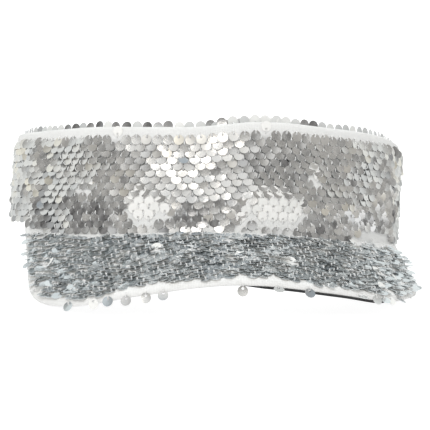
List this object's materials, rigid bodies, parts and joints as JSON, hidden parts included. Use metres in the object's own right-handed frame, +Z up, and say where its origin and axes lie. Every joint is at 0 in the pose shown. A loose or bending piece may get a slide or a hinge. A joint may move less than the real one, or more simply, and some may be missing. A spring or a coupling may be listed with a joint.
{
  "type": "sun visor cap",
  "caption": "Open-topped sun visor cap in silver flip-sequin fabric, with an upright band, a curved sloping brim and a hook-and-loop closure at the rear.",
  "frame": {"origin": "on the table the cap lies on, below the middle of its bounding box", "axes": "+Z up from the table, the brim points towards -Y, +X is to the right of someone who faces the brim"},
  "size_m": [0.1992, 0.2646, 0.0847],
  "materials": {
    "sequin_silver": "metallised silver film on the outer side, matte white on the other",
    "knit_white": "matte stretch knit",
    "lining_black": "matte plain weave",
    "sweatband_black": "brushed terry",
    "stiffener_white": "fused non-woven",
    "padding_white": "thin needled felt",
    "board_white": "matte sheet",
    "tape_black": "folded bias tape",
    "webbing_black": "ribbed webbing",
    "hook_black": "moulded hooks",
    "loop_black": "brushed loop pile",
    "thread_white": "spun thread",
    "thread_grey": "spun thread"
  },
  "bodies": {
    "cap": {"band_stiffener": "stiffener_white", "band_knit_fabric": "knit_white", "band_outer_sequins": "sequin_silver", "band_inner_sequins": "sequin_silver", "band_lining": "lining_black", "front_sweatband": "sweatband_black", "front_sweatband_stitches": "thread_grey", "brim_seam_tape": "tape_black", "brim_board": "board_white", "brim_knit_fabric": "knit_white", "brim_lining": "lining_black", "brim_sequins": "sequin_silver", "edge_thread_loops": "thread_white"},
    "left_wing": {"left_padding": "padding_white", "left_knit_fabric": "knit_white", "left_outer_sequins": "sequin_silver", "left_inner_sequins": "sequin_silver", "left_lining": "lining_black", "left_sweatband": "sweatband_black", "left_sweatband_stitches": "thread_grey", "loop_patch": "loop_black"},
    "right_wing": {"right_padding": "padding_white", "right_knit_fabric": "knit_white", "right_outer_sequins": "sequin_silver", "right_inner_sequins": "sequin_silver", "right_lining": "lining_black", "right_sweatband": "sweatband_black", "right_sweatband_stitches": "thread_grey", "tab_root": "webbing_black"},
    "closure_tab": {"closure_tab": "webbing_black", "hook_patch": "hook_black"},
    "edge_sequin_1": {"edge_sequin_1": "sequin_silver"},
    "edge_sequin_2": {"edge_sequin_2": "sequin_silver"},
    "edge_sequin_3": {"edge_sequin_3": "sequin_silver"},
    "edge_sequin_4": {"edge_sequin_4": "sequin_silver"},
    "edge_sequin_5": {"edge_sequin_5": "sequin_silver"},
    "edge_sequin_6": {"edge_sequin_6": "sequin_silver"}
  },
  "joints": [
    {"name": "right_wing_flex", "type": "hinge", "parent": "cap", "child": "right_wing", "pos_m": [0.09658, 0.04421, 0.01019], "axis": [-0.0362, -0.1671, -0.9853], "range_deg": [0, 25], "stiffness_Nm_per_rad": 0.08},
    {"name": "left_wing_flex", "type": "hinge", "parent": "cap", "child": "left_wing", "pos_m": [-0.09823, 0.04421, 0.01736], "axis": [0.0362, 0.1671, 0.9853], "range_deg": [0, 25], "stiffness_Nm_per_rad": 0.08},
    {"name": "tab_peel", "type": "hinge", "parent": "right_wing", "child": "closure_tab", "pos_m": [0.01938, 0.12606, 0.00423], "axis": [-0.0362, -0.1671, -0.9853], "range_deg": [0, 115]},
    {"name": "edge_sequin_1_flip", "type": "hinge", "parent": "cap", "child": "edge_sequin_1", "pos_m": [-0.05268, -0.12061, 0.01229], "axis": [-0.9371, 0.3483, -0.0246], "range_deg": [-20, 145]},
    {"name": "edge_sequin_2_flip", "type": "hinge", "parent": "cap", "child": "edge_sequin_2", "pos_m": [-0.04406, -0.12321, 0.01419], "axis": [-0.9567, 0.2908, -0.0141], "range_deg": [-12, 153]},
    {"name": "edge_sequin_3_flip", "type": "hinge", "parent": "cap", "child": "edge_sequin_3", "pos_m": [-0.03636, -0.12508, 0.0156], "axis": [-0.9709, 0.2394, -0.0049], "range_deg": [-28, 137]},
    {"name": "edge_sequin_4_flip", "type": "hinge", "parent": "cap", "child": "edge_sequin_4", "pos_m": [-0.00094, -0.12878, 0.01875], "axis": [-0.9993, 0.002, 0.0364], "range_deg": [-10, 155]},
    {"name": "edge_sequin_5_flip", "type": "hinge", "parent": "cap", "child": "edge_sequin_5", "pos_m": [0.01524, -0.12787, 0.01836], "axis": [-0.9928, -0.1068, 0.0546], "range_deg": [-62, 103]},
    {"name": "edge_sequin_6_flip", "type": "hinge", "parent": "cap", "child": "edge_sequin_6", "pos_m": [0.02987, -0.12562, 0.017], "axis": [-0.9761, -0.2056, 0.0708], "range_deg": [-35, 130]}
  ],
  "couplings": [
    {"joint": "left_wing_flex", "follows": "right_wing_flex", "ratio": 1}
  ]
}
